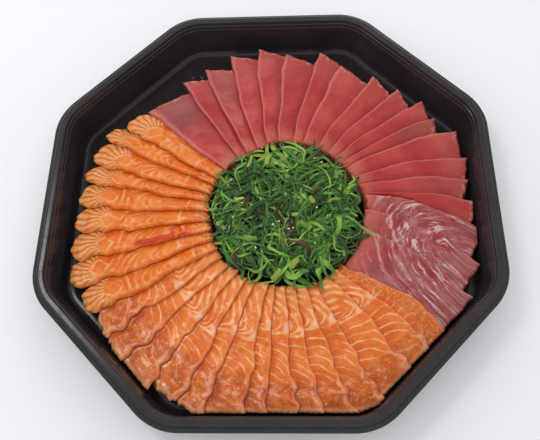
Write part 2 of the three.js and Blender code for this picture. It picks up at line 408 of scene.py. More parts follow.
def close_up(mesh, merge=0.0):
    """Merges doubled points, fills the holes, turns all faces outwards. Counts the open edges."""
    work = bmesh.new()
    work.from_mesh(mesh)
    if merge:
        bmesh.ops.remove_doubles(work, verts=work.verts, dist=merge)
    open_edges = [e for e in work.edges if e.is_boundary]
    if open_edges:
        bmesh.ops.holes_fill(work, edges=open_edges, sides=0)
    bmesh.ops.recalc_face_normals(work, faces=work.faces)
    work.to_mesh(mesh)
    work.free()
    return len(open_edges)


open_edges = close_up(tray.data, merge=1e-6)
for thing in (outline_curve, section_curve):
    bpy.data.objects.remove(thing)
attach(tray, "root")
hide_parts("tray")
corners = np.array([v.co for v in tray.data.vertices])
print("tray:", corners.min(0).round(4), corners.max(0).round(4), "open edges closed:", open_edges)

# %% [markdown]
# ## How the slices lie
# Every slice is laid on the one before it, going clockwise, all the way round and back to the
# first. So a place in the ring is counted in slices: at place 7.5 we are half way between the
# raised edges of slices 7 and 8. Each slice's underside lies one step above the underside of the
# one before it, which lets all of them overlap without cutting through each other. A slice is
# a wedge: thin at its raised edge (the share called rim), thicker where it slips under the next.
# The raised edges sway a little, because no hand cuts and lays forty slices quite straight. A
# few are turned further (twist, in degrees) or bow out (bulge, in millimetres), by slice number.
# For each slice, steps gives the degrees from its raised edge to the next one's, and tips how
# many millimetres its outer end lies beyond the reach of its kind.

# %% The ring
MIDDLE = np.array([12.0, -9.0])
LEAN_INNER, LEAN_OUTER = 60.0, 140.0
FIRST_EDGE = 140.0
OVERLAP_INNER, OVERLAP_OUTER = 2.0, 1.6
REST_GAP = 0.3
TOUCH_GAP = 0.4
LOBE_LIMIT = 1.3
KINDS = {
    "tuna": dict(
        step=5.8, crown=0.5, bevel=0.1, inset=2, reach=140, slope=7, lobe=0, lean=(1, 14), rim=0.5,
        twist={17: 7.5, 18: 5}, bulge={},
        steps=(15, 8, 9, 9, 9, 11, 8, 12, 9, 8, 7, 6, 10, 8, 8, 9, 10, 10, 13),
        tips=(0, 3, 4, 9, 10, 3, 7, -2, -1, -1, 3, -1, 6, 2, -4, -1, 0, 0, 1)),
    "salmon_thin": dict(
        step=5.4, crown=0.7, bevel=0.09, inset=1.5, reach=152, slope=2, lobe=1.5, lean=(-5, 0), rim=0.42,
        twist={}, bulge={1: 9, 2: 5, 3: 3},
        steps=(6, 8, 11, 8, 8, 7, 8, 6, 10, 7, 9, 9, 8, 7),
        tips=(0, 0, 0, 0, 0, 0, 0, 0, 0, -1, -2, 3, 1, -1)),
    "salmon_thick": dict(
        step=6.4, crown=0.9, bevel=0.15, inset=0.8, reach=155, slope=1, lobe=6.5, lean=(0, 1), rim=0.62,
        twist={}, bulge={},
        steps=(8, 8, 8, 8, 8, 6, 8, 6, 9),
        tips=(0, 4, 1, -1, -1, 0, 0, 0, -9)),
}
SWAY = {"tuna": 1.0, "salmon_thin": 1.5, "salmon_thick": 1.3}
FRILL = {"tuna": 0.2, "salmon_thin": 0.9, "salmon_thick": 0.5}


def nudge(index, purpose):
    """A repeatable number from -1 to 1 for each slice and purpose."""
    wave = math.sin(index * 12.9898 + purpose * 78.233) * 43758.5453
    return 2 * (wave - math.floor(wave)) - 1


ring = []
edge = FIRST_EDGE
for kind, facts in KINDS.items():
    for number, step in enumerate(facts["steps"]):
        share = number / (len(facts["steps"]) - 1)
        lean = facts["lean"][0] + (facts["lean"][1] - facts["lean"][0]) * share
        lean += facts["twist"].get(number + 1, 0)
        ring.append(dict(kind=kind, number=number + 1, edge=edge, lean=lean, step=facts["step"],
                         bulge=facts["bulge"].get(number + 1, 0)))
        edge -= step
COUNT = len(ring)
EDGES = np.array([piece["edge"] for piece in ring])
LEANS = np.array([piece["lean"] for piece in ring])
BULGES = np.array([piece["bulge"] for piece in ring])
STEPS = np.array([piece["step"] for piece in ring])
SWAYS = np.array([SWAY[piece["kind"]] * (0.7 + 0.3 * nudge(i, 11)) for i, piece in enumerate(ring)])
SWAY_LENGTHS = np.array([62 + 16 * nudge(i, 12) for i in range(COUNT)])
SWAY_STARTS = np.array([3.1 * nudge(i, 13) for i in range(COUNT)])
FRILLS = np.array([FRILL[piece["kind"]] for piece in ring])


def edge_angle(index, radius):
    turns, index = np.divmod(index, COUNT)
    share = (LEAN_OUTER - radius) / (LEAN_OUTER - LEAN_INNER)
    sway = np.sin(radius * 2 * math.pi / SWAY_LENGTHS[index] + SWAY_STARTS[index])
    sway = sway * SWAYS[index] * np.clip((radius - 40) / 60, 0.2, 1)
    frill = np.sin(radius * 2 * math.pi / (SWAY_LENGTHS[index] / 4) + 2 * SWAY_STARTS[index])
    frill = frill + 0.8 * np.sin(radius * 2 * math.pi / (SWAY_LENGTHS[index] / 2.3) + SWAY_STARTS[index])
    sway = sway + frill * FRILLS[index] * np.clip((radius - 96) / 24, 0.12, 1)
    sway = sway + BULGES[index] * np.sin(math.pi * np.clip(share, 0, 1))
    return np.radians(EDGES[index] + LEANS[index] * share - 360 * turns) + sway / radius


def ring_angle(place, radius):
    index = np.floor(place).astype(int)
    start = edge_angle(index, radius)
    return start + (edge_angle(index + 1, radius) - start) * (place - index)


def step_height(place):
    index = np.floor(place).astype(int)
    first, second = STEPS[index % COUNT], STEPS[(index + 1) % COUNT]
    return first + (second - first) * (place - index)


def overlap(radius):
    share = np.clip((radius - LEAN_INNER) / (LEAN_OUTER - LEAN_INNER), 0, 1.2)
    return OVERLAP_INNER + (OVERLAP_OUTER - OVERLAP_INNER) * share


def bed_height(index, place, radius):
    rise = np.maximum(overlap(radius) - (place - index), 0)
    return PANEL_TOP + REST_GAP + step_height(place) * rise


def heap_reach(angle):
    return 54.5 + 2.3 * np.sin(angle) + 0.8 * np.sin(5 * angle + 1) + 0.5 * np.sin(9 * angle)


print("slices in the ring:", COUNT)

# %% Room inside the wall
WALL_GAP = 2.1


def wall_planes():
    """The tray's sides and rounded corners as directions and distances from the middle."""
    planes = []
    square, slanted = half / MM, (TRAY_WIDTH - CORNER_CUT) / MM / math.sqrt(2)
    sides = [(i * math.pi / 4, slanted if i % 2 else square) for i in range(9)]
    for (angle, distance), (next_angle, next_distance) in zip(sides, sides[1:]):
        planes.append((math.cos(angle), math.sin(angle), distance))
        inner = np.array([distance, next_distance]) - CORNER_RADIUS / MM
        rows = [[math.cos(angle), math.sin(angle)], [math.cos(next_angle), math.sin(next_angle)]]
        corner = np.linalg.solve(rows, inner)
        x, y = math.cos(angle + math.pi / 8), math.sin(angle + math.pi / 8)
        planes.append((x, y, corner @ (x, y) + CORNER_RADIUS / MM))
    return planes


PLANES = wall_planes()


def reach_to_wall(angle, height):
    share = np.clip((height - WALL_FOOT[1]) / (WALL_TOP[1] - WALL_FOOT[1]), -0.15, 1)
    inset = WALL_FOOT[0] + (WALL_TOP[0] - WALL_FOOT[0]) * share + WALL_GAP
    reach = np.full(np.shape(angle), 1000.0)
    for x, y, distance in PLANES:
        slant = x * np.cos(angle) + y * np.sin(angle)
        room = distance - inset - (x * MIDDLE[0] + y * MIDDLE[1])
        reach = np.where(slant > 0.05, np.minimum(reach, room / np.maximum(slant, 0.05)), reach)
    return reach


print("wall planes:", len(PLANES))

# %% [markdown]
# ## Cutting the slices
# A slice is skinned from rows of cross-sections that run from its inner to its outer end. Each
# section goes over the crowned top, round the soft raised edge and back underneath. Most of its
# points lie on the open band, because the rest is under the next slice. The thick slices are
# rounded like pillows, the tuna is cut flat and sharp. Every point also keeps its place inside
# the slice in millimetres, and the flesh patterns are drawn on that.

# %% Slice shape
TOP_POINTS = 26
HIDDEN_POINTS = 5
EDGE_POINTS = 7
UNDER_POINTS = 8
ROWS = 92
BARE_SHARE = 0.88  # the part of the band that rises in lumps; the rest stays low under the next edge
SHAPES = {
    "tuna": dict(end_round=1.6, ragged=0.6, ragged_inner=0.45, ripple=0.05, lumps=0.25, wobble=0.02),
    "salmon_thin": dict(end_round=1.8, ragged=1.3, ragged_inner=0.5, ripple=0.18, lumps=0.6, wobble=0.05),
    "salmon_thick": dict(end_round=3.2, ragged=0.9, ragged_inner=0.8, ripple=0.32, lumps=1.2, wobble=0.06),
}


def waves(position, seed, lengths=(37.0, 21.0, 11.0, 6.3)):
    """A smooth repeatable wobble along a line, about -1 to 1."""
    total = 0
    for turn, length in enumerate(lengths):
        total = total + np.sin(position * 2 * math.pi / length + seed * (3.1 + turn)) / (1 + turn)
    return total / 1.7


def cross_section(wide, bevel):
    """Places across and levels from 0, under, to 1, on top, for every row of the slice."""
    wide = wide[:, None]
    # A column lies exactly where the next slice begins, because the ring bends there.
    half_under = UNDER_POINTS // 2
    near_half = np.repeat(np.linspace(0, 1, half_under + 1)[None, :-1], len(wide), axis=0)
    under = np.hstack([near_half, 1 + (wide - 1) * np.linspace(0, 1, half_under)[None, :]])
    far_side = np.linspace(0.25, 0.75, 2)[None, :] * -0.02 + wide
    hidden = 1 + (wide - 1.05) * np.linspace(1, 0.15, HIDDEN_POINTS)[None, :]
    top = np.repeat(np.linspace(1, bevel, TOP_POINTS)[None, :], len(wide), axis=0)
    turn = np.linspace(0, math.pi / 2, EDGE_POINTS + 2)[1:-1]
    side = np.repeat((bevel * (1 - np.sin(turn)))[None, :], len(wide), axis=0)
    across = np.hstack([under, far_side, hidden, top, side])
    level = np.hstack([np.zeros(UNDER_POINTS), [0.3, 0.8], np.ones(HIDDEN_POINTS + TOP_POINTS),
                       np.cos(turn) ** 0.85])
    return across, np.repeat(level[None, :], len(wide), axis=0)


def slice_outline(index, across, level):
    """How far the slice reaches inwards and outwards at each place across."""
    entry = ring[index]
    facts, shape = KINDS[entry["kind"]], SHAPES[entry["kind"]]
    seed = 10 * nudge(index, 5)
    place = index + across
    aside = np.minimum((across - 0.5) / 0.5, LOBE_LIMIT)
    outer = facts["reach"] + facts["tips"][entry["number"] - 1]
    outer = outer - facts["slope"] * np.clip(across, 0, 2) ** 0.8
    outer = outer - facts["lobe"] * (0.25 * aside ** 2 + 0.75 * aside ** 4)
    outer = outer + shape["ragged"] * waves(across * 18, seed, (9.0, 4.7, 2.6))
    bed = bed_height(index, place, LEAN_OUTER)
    room = reach_to_wall(ring_angle(place, LEAN_OUTER), bed + 5 * level)
    outer = np.minimum(outer, room + 0.3 * waves(across * 25, seed + 4, (5.0, 2.7)))
    inner = heap_reach(ring_angle(place, LEAN_INNER))
    inner = inner + facts["inset"] * (1 + nudge(index, 2)) * 0.6 + 0.6
    inner = inner + shape["ragged_inner"] * waves(across * 15, seed + 2, (8.0, 3.7, 2.3))
    return np.maximum(inner, heap_reach(ring_angle(place, LEAN_INNER)) - 0.5), outer


def slice_arrays(index):
    """Points and patterns of one slice, row by row, in millimetres."""
    entry = ring[index]
    facts, shape = KINDS[entry["kind"]], SHAPES[entry["kind"]]
    seed = 10 * nudge(index, 5)
    ends = np.array([0, 0.003, 0.008, 0.016])
    run = np.concatenate([ends, 0.024 + 0.952 * np.linspace(0, 1, ROWS), 1 - ends[::-1]])
    wide = overlap(LEAN_INNER + (LEAN_OUTER - LEAN_INNER) * run)
    across, level = cross_section(wide, facts["bevel"])
    run = run[:, None]
    inner, outer = slice_outline(index, across, level)
    radius = inner + (outer - inner) * run

    wobble = shape["wobble"] * waves(radius, seed + 7, (31.0, 17.0, 9.0)) * np.clip(1 - across, 0, 1)
    place = index + across + wobble
    angle = ring_angle(place, radius)
    thick = step_height(place) - TOUCH_GAP
    thick = thick * (facts["rim"] + (1 - facts["rim"]) * np.clip(across, 0, 1))
    to_end = np.minimum(run, 1 - run) * (outer - inner)
    end_round = np.sqrt(1 - (1 - np.clip(to_end / shape["end_round"], 0.03, 1)) ** 2)
    level = 0.5 + (level - 0.5) * end_round
    open_band = np.sin(math.pi * np.clip(across / BARE_SHARE, 0, 1)) ** 0.8
    crown = facts["crown"] * open_band * np.clip(to_end / 9, 0, 1) ** 0.5
    lumps = shape["lumps"] * waves(radius + 3 * np.sin(5 * across + seed), seed + 1, (23.0, 13.0, 8.0))
    ripple = shape["ripple"] * waves(radius + 4 * across, seed + 3, (5.1, 3.3, 2.2))
    lift = level * thick + np.clip(2 * level - 1, 0, 1) * (crown + open_band * (lumps + ripple))
    height = bed_height(index, place, radius) + lift
    x = MIDDLE[0] + radius * np.cos(angle)
    y = MIDDLE[1] + radius * np.sin(angle)
    band = edge_angle(np.array(index), radius) - edge_angle(np.array(index + 1), radius)
    points = np.stack([x, y, height], -1)
    flesh = np.stack([across * band * radius, radius, level * thick], -1)
    lay = np.stack([across, run + 0 * across, 0 * across + 0.5 + 0.5 * nudge(index, 9)], -1)
    return points, flesh, lay


def skin_slice(name, index, material, cut):
    """Joins the rows into one closed mesh. cut holds three numbers of this slice's pattern."""
    points, flesh, lay = slice_arrays(index)
    rows, columns = points.shape[:2]
    grid = np.arange(rows * columns).reshape(rows, columns)
    after = np.roll(grid, -1, axis=1)
    quads = np.stack([grid[:-1], after[:-1], after[1:], grid[1:]], -1).reshape(-1, 4)
    faces = quads.tolist() + [grid[0, ::-1].tolist(), grid[-1].tolist()]
    mesh = bpy.data.meshes.new(name)
    mesh.from_pydata((points.reshape(-1, 3) * MM).tolist(), [], faces)
    own = np.broadcast_to(np.array(cut, dtype=float), flesh.shape)
    for title, values in (("flesh_mm", flesh), ("lay", lay), ("cut", own)):
        layer = mesh.attributes.new(title, "FLOAT_VECTOR", "POINT")
        layer.data.foreach_set("vector", values.reshape(-1).astype(np.float32))
    mesh.materials.append(material)
    mesh.shade_smooth()
    close_up(mesh)
    return put_in(name, mesh)


print("points in a slice:", (ROWS + 8) * (UNDER_POINTS + 2 + HIDDEN_POINTS + TOP_POINTS + EDGE_POINTS))

# %% [markdown]
# ## Tuna
# Tuna is cut across its long muscle fibres, so a slice is a smooth, almost even red, with a painted
# highlight along the raised edge, painted shade where it slips under the next slice, and pale orange
# at the inner end. Every slice has its own tone. The broad slices at the end of the fan come from
# beside a tendon, so pale streaks run along them and bend round an eye, under a painted greyish sheen.

# %% Slice facts for patterns
slice_facts, given, result = new_group(
    "slice facts", "ShaderNodeTree", {}, {"First": FLOAT, "Second": FLOAT, "Third": FLOAT})
facts_read = add(slice_facts, "ShaderNodeAttribute", attribute_name="cut")
facts_parts = add(slice_facts, "ShaderNodeSeparateXYZ", {0: out(facts_read, "Vector")})
for number, name in enumerate(("First", "Second", "Third")):
    slice_facts.links.new(facts_parts.outputs[number], result.inputs[name])


def less(tree, first, second):
    return calc(tree, "SUBTRACT", first, second)


def times(tree, *values):
    total = values[0]
    for value in values[1:]:
        total = calc(tree, "MULTIPLY", total, value)
    return total


def near(tree, value, target, inner, outer):
    """1 within inner of the target, falling to 0 at outer."""
    away = calc(tree, "ABSOLUTE", less(tree, value, target))
    return ease(tree, away, inner, outer, 1.0, 0.0)


def flesh_shader(shader, weight, reach, film_roughness):
    shader.inputs["Subsurface Weight"].default_value = weight
    shader.inputs["Subsurface Radius"].default_value = reach
    shader.inputs["Subsurface Scale"].default_value = 0.004
    shader.inputs["Coat Roughness"].default_value = film_roughness
    shader.inputs["Specular IOR Level"].default_value = 0.3
    shader.inputs["IOR"].default_value = 1.38


def finish_flesh(tree, shader, base, rough, height, relief, coat):
    tree.links.new(base, shader.inputs["Base Color"])
    tree.links.new(rough, shader.inputs["Roughness"])
    bump = add(tree, "ShaderNodeBump", {"Height": height, "Strength": 0.5, "Distance": relief})
    tree.links.new(out(bump), shader.inputs["Normal"])
    tree.links.new(coat, shader.inputs["Coat Weight"])


# %% Tuna flesh
def tuna_base(tree, place):
    """The even red of a tuna slice with its pale ends and its own tone, a painted highlight along the raised
    edge and painted shade where it slips under the next slice.
    """
    along, share, run = (place.outputs[n] for n in ("Along", "Share", "Run"))
    vector = place.outputs["Vector"]
    tone = use_group(tree, slice_facts, {}).outputs["Second"]
    grain_way = add(tree, "ShaderNodeMapping", {"Vector": vector, "Scale": (0.8, 0.09, 0.4)})
    grain = noise(tree, out(grain_way), 1.0, 3.0, 0.6)
    broad = noise(tree, vector, 0.05, 3.0, 0.6)
    base = mix(tree, ease(tree, broad, 0.3, 0.7), colour(168, 48, 47), colour(186, 68, 62))
    base = mix(tree, ease(tree, grain, 0.45, 0.8, 0.0, 0.3), base, colour(200, 100, 92))
    dusty = times(tree, ease(tree, tone, -0.1, -1.0), ease(tree, along, 85.0, 120.0))
    base = mix(tree, dusty, base, colour(142, 70, 66))
    base = mix(tree, ease(tree, tone, 0.1, 1.0, 0.0, 0.8), base, colour(164, 40, 42))
    outer = ease(tree, along, 108.0, 138.0, 0.0, 0.35)
    base = mix(tree, outer, base, colour(190, 96, 84))
    # Painted shade: darker red where the slice slips under the next one.
    base = mix(tree, ease(tree, share, 0.5, 1.0, 0.0, 0.4), base, colour(150, 36, 36))
    ragged = noise(tree, vector, 0.35, 2.0)
    # Painted highlight: a paler band along the raised edge of the slice.
    edge_highlight = ease(tree, calc(tree, "MULTIPLY_ADD", ragged, 0.1, share), 0.09, 0.22, 0.7, 0.0)
    base = mix(tree, edge_highlight, base, colour(206, 118, 110))
    inner = times(tree, ease(tree, run, 0.03, 0.2, 1.0, 0.0), ease(tree, ragged, 0.3, 0.6, 0.35, 0.7))
    base = mix(tree, inner, base, colour(204, 112, 92))
    tip = times(tree, ease(tree, run, 0.94, 0.99), ease(tree, ragged, 0.45, 0.65, 0.0, 0.7))
    return mix(tree, tip, base, colour(214, 150, 138)), grain, broad


def tuna_flesh():
    material, tree, shader = new_material("tuna flesh")
    place = use_group(tree, flesh_place, {"Wander": 3.0, "Wander size": 0.05})
    base, grain, broad = tuna_base(tree, place)
    film = use_group(tree, wet_film, {"Scale": 70.0, "Dry": 0.46, "Wet": 0.3, "Relief": 0.1})
    height = calc(tree, "MULTIPLY_ADD", grain, 0.35, film.outputs["Height"])
    finish_flesh(tree, shader, base, film.outputs["Roughness"], height, 0.0004,
                 ease(tree, broad, 0.4, 0.7, 0.05, 0.3))
    flesh_shader(shader, 0.35, (1.0, 0.25, 0.2), 0.15)
    return material


def tuna_by_the_tendon():
    """Pale streaks that run lengthwise and bend round an eye, each slice having its own eye."""
    material, tree, shader = new_material("tuna flesh by the tendon")
    place = use_group(tree, flesh_place, {"Wander": 6.0, "Wander size": 0.045})
    across, along = place.outputs["Across"], place.outputs["Along"]
    vector = place.outputs["Vector"]
    base, _, broad = tuna_base(tree, place)
    eye = use_group(tree, slice_facts, {})
    aside = less(tree, across, eye.outputs["First"])
    below = times(tree, calc(tree, "MINIMUM", less(tree, along, eye.outputs["Third"]), 0.0), 0.6)
    squares = calc(tree, "ADD", times(tree, aside, aside), times(tree, below, below))
    ring_at = calc(tree, "SQRT", squares)
    # Noise drawn along the rings: quick change from ring to ring, slow change along a ring.
    turn = calc(tree, "ARCTAN2", aside, less(tree, below, 6.0))
    ringed = add(tree, "ShaderNodeCombineXYZ", {0: times(tree, ring_at, 0.5), 1: times(tree, turn, 2.2),
                                                2: times(tree, along, 0.02)})
    streaks = noise(tree, ringed.outputs[0], 1.0, 4.0, 0.62, 0.35)
    out_zone = ease(tree, along, 54.0, 84.0)
    base = mix(tree, times(tree, out_zone, 0.75), base, colour(152, 56, 56))
    base = mix(tree, times(tree, ease(tree, streaks, 0.5, 0.36), out_zone, 0.6), base, colour(122, 32, 36))
    # Painted sheen: a greyish reflected sheen over the outer zone of the tendon slices.
    haze_and_sheen = times(tree, ease(tree, noise(tree, vector, 0.07, 3.0, 0.65), 0.4, 0.62), out_zone)
    base = mix(tree, times(tree, haze_and_sheen, 0.5), base, colour(194, 126, 122))
    frost = noise(tree, vector, 1.8, 4.0, 0.9)
    crazed = add(tree, "ShaderNodeCombineXYZ", {0: times(tree, ring_at, 0.8), 1: times(tree, turn, 5.0)})
    cracks = add(tree, "ShaderNodeTexVoronoi", {"Vector": crazed.outputs[0], "Scale": 1.0},
                 feature="DISTANCE_TO_EDGE")
    crack = ease(tree, out(cracks), 0.02, 0.12, 1.0, 0.0)
    pale = times(tree, ease(tree, streaks, 0.5, 0.62), ease(tree, frost, 0.38, 0.58, 0.15, 1.0), out_zone)
    base = mix(tree, times(tree, pale, 0.7), base, colour(212, 154, 150))
    patch = ease(tree, noise(tree, vector, 0.06, 2.0), 0.42, 0.56)
    glint = times(tree, patch, ease(tree, streaks, 0.51, 0.6), ease(tree, frost, 0.44, 0.54), out_zone)
    base = mix(tree, times(tree, glint, 0.85), base, colour(236, 220, 218))
    base = mix(tree, times(tree, crack, haze_and_sheen, 0.7), base, colour(118, 34, 38))
    film = use_group(tree, wet_film, {"Scale": 160.0, "Dry": 0.4, "Wet": 0.22, "Relief": 0.25})
    height = calc(tree, "MULTIPLY_ADD", streaks, 2.2, film.outputs["Height"])
    height = calc(tree, "MULTIPLY_ADD", frost, 0.5, height)
    rough = calc(tree, "MULTIPLY_ADD", pale, -0.12, film.outputs["Roughness"])
    finish_flesh(tree, shader, base, rough, height, 0.0006, ease(tree, broad, 0.35, 0.6, 0.15, 0.45))
    flesh_shader(shader, 0.25, (1.0, 0.25, 0.2), 0.15)
    return material


tuna_look = tuna_flesh()
tendon_look = tuna_by_the_tendon()
print("tuna materials:", tuna_look.name, "and", tendon_look.name)

# %% [markdown]
# ## Salmon
# Salmon muscle is built of thin sheets with white fat between them. A cut across the sheets
# shows the fat as lines, and where it runs depends on the part of the fish. The thin belly
# slices show nested hooks near the middle of the plate, a straight seam, slanting curves further
# out and clear ragged belly with dark red muscle at the end. The thick back slices show a fan of
# fine stripes at the tip, a pale diamond behind it and broken lines further in. Each slice has
# three facts of its own: the radius of its seam or diamond, how far its hooks are drawn out, and
# how much dark red muscle it shows.

# %% Salmon belly
def belly_lines(tree, place, seam, stretch):
    """Fat lines of the inner and the middle zone of a belly slice."""
    across, along, share, seed = (place.outputs[n] for n in ("Across", "Along", "Share", "Seed"))
    # Hooks: nested half ovals, open towards the next slice.
    centre = calc(tree, "MULTIPLY_ADD", seed, 4.0, 12.5)
    left = calc(tree, "MINIMUM", less(tree, across, centre), 0.0)
    rise = calc(tree, "ADD", less(tree, along, seam), 7.0)
    above = calc(tree, "DIVIDE", calc(tree, "MAXIMUM", rise, 0.0), 0.55)
    below = calc(tree, "DIVIDE", calc(tree, "MINIMUM", rise, 0.0), stretch)
    tall = calc(tree, "ADD", above, below)
    size = calc(tree, "SQRT", calc(tree, "ADD", times(tree, left, left), times(tree, tall, tall)))
    phase = calc(tree, "ADD", calc(tree, "DIVIDE", size, 4.4), seed)
    hooks = use_group(tree, fat_lines, {"Phase": phase, "Width": 0.1, "Blur": 0.2}).outputs["Mask"]
    # Curves: steep at the raised edge, then flatter.
    beyond = less(tree, along, seam)
    bend = less(tree, 1.0, calc(tree, "POWER", calc(tree, "MAXIMUM", less(tree, 1.0, share), 0.0), 1.9))
    grow_out = ease(tree, beyond, 0.0, 12.0, 0.12, 0.75)
    fallen = times(tree, beyond, calc(tree, "MULTIPLY_ADD", bend, grow_out, 1.0))
    curves = use_group(tree, fat_lines, {"Phase": calc(tree, "DIVIDE", fallen, 9.6), "Width": 0.04,
                                         "Blur": 0.11}).outputs["Mask"]
    outside = ease(tree, beyond, -1.2, -0.4)
    hooks = times(tree, hooks, less(tree, 1.0, outside))
    curves = times(tree, curves, outside, ease(tree, along, 114.0, 124.0, 1.0, 0.0))
    lines = calc(tree, "MAXIMUM", hooks, curves)
    return calc(tree, "MAXIMUM", lines, times(tree, near(tree, along, seam, 0.4, 1.6), 0.8))


def belly_tip(tree, place, blood_share):
    """The colour of the thin belly at the outer end."""
    across, along, share, run = (place.outputs[n] for n in ("Across", "Along", "Share", "Run"))
    vector = place.outputs["Vector"]
    cloudy = noise(tree, vector, 0.12, 3.0, 0.6)
    speck = noise(tree, vector, 0.45, 4.0, 0.7)
    base = mix(tree, ease(tree, cloudy, 0.35, 0.65), colour(188, 84, 18), colour(214, 112, 32))
    rest = less(tree, 1.0, share)
    skin = near(tree, across, calc(tree, "MULTIPLY_ADD", cloudy, 5.0, 0.5), 0.7, 2.4)
    bend = calc(tree, "MULTIPLY_ADD", times(tree, rest, rest), 12.0, 121.0)
    bend = calc(tree, "MULTIPLY_ADD", cloudy, 6.0, bend)
    skin = calc(tree, "MAXIMUM", skin, times(tree, near(tree, along, bend, 0.6, 2.4), 0.8))
    torn = noise(tree, vector, 0.2, 3.0, 0.6)
    skin_colour = mix(tree, ease(tree, torn, 0.4, 0.58), colour(212, 84, 36), colour(240, 172, 128))
    base = mix(tree, times(tree, skin, 0.7), base, skin_colour)
    base = mix(tree, ease(tree, speck, 0.56, 0.68, 0.0, 0.75), base, colour(242, 192, 154))
    band = near(tree, along, 129.0, 7.0, 14.0)
    crease = calc(tree, "MAXIMUM", ease(tree, share, 0.68, 0.9), ease(tree, across, 3.5, 1.0))
    spot = ease(tree, noise(tree, vector, 0.13, 2.0, 0.6, 0.8), 0.44, 0.56)
    blood = times(tree, band, crease, spot, blood_share)
    base = mix(tree, times(tree, blood, 0.85), base, colour(164, 46, 26))
    end = times(tree, ease(tree, run, 0.955, 0.985), 0.65)
    return mix(tree, end, base, colour(234, 164, 116))


def salmon_belly():
    material, tree, shader = new_material("salmon belly flesh")
    place = use_group(tree, flesh_place, {"Wander": 5.4, "Wander size": 0.075})
    facts = use_group(tree, slice_facts, {})
    seam, blood_share = facts.outputs["First"], facts.outputs["Third"]
    across, along, share = (place.outputs[n] for n in ("Across", "Along", "Share"))
    vector = place.outputs["Vector"]
    lines = belly_lines(tree, place, seam, facts.outputs["Second"])
    strength = ease(tree, noise(tree, vector, 0.12, 3.0), 0.36, 0.62, 0.12, 0.8)
    deep = noise(tree, vector, 0.06, 3.0, 0.6)
    base = mix(tree, ease(tree, deep, 0.35, 0.65), colour(214, 98, 22), colour(226, 122, 42))
    fibre = noise(tree, vector, 0.5, 3.0, 0.6)
    base = mix(tree, ease(tree, fibre, 0.4, 0.8, 0.0, 0.35), base, colour(236, 148, 70))
    inner = ease(tree, along, 62.0, 76.0, 0.5, 0.0)
    base = mix(tree, inner, base, colour(238, 156, 84))
    # Painted shade: darker orange where the slice slips under the next one.
    base = mix(tree, ease(tree, share, 0.6, 1.0, 0.0, 0.5), base, colour(206, 86, 28))
    base = mix(tree, times(tree, lines, strength), base, colour(242, 186, 128))
    wedge = times(tree, ease(tree, across, 2.0, 6.0, 1.0, 0.0),
                  near(tree, along, less(tree, seam, 3.0), 1.0, 4.5))
    base = mix(tree, times(tree, wedge, 0.6), base, colour(246, 200, 166))
    base = mix(tree, ease(tree, along, 114.0, 124.0), base, belly_tip(tree, place, blood_share))
    bare = times(tree, ease(tree, blood_share, -0.2, -0.9), ease(tree, share, 0.8, 0.6))
    flecks = ease(tree, noise(tree, vector, 0.6, 4.0, 0.7), 0.5, 0.66)
    bare_colour = mix(tree, flecks, colour(204, 100, 30), colour(232, 158, 96))
    base = mix(tree, times(tree, bare, 0.85), base, bare_colour)
    # Painted highlight: lighter along the raised edge of each slice.
    base = mix(tree, ease(tree, share, 0.05, 0.16, 0.35, 0.0), base, colour(238, 160, 114))
    film = use_group(tree, wet_film, {"Scale": 150.0, "Dry": 0.42, "Wet": 0.24, "Relief": 0.35})
    height = calc(tree, "MULTIPLY_ADD", lines, -0.6, film.outputs["Height"])
    height = calc(tree, "MULTIPLY_ADD", fibre, 0.8, height)
    finish_flesh(tree, shader, base, film.outputs["Roughness"], height, 0.0005,
                 ease(tree, deep, 0.4, 0.7, 0.1, 0.4))
    flesh_shader(shader, 0.4, (1.0, 0.4, 0.15), 0.12)
    return material


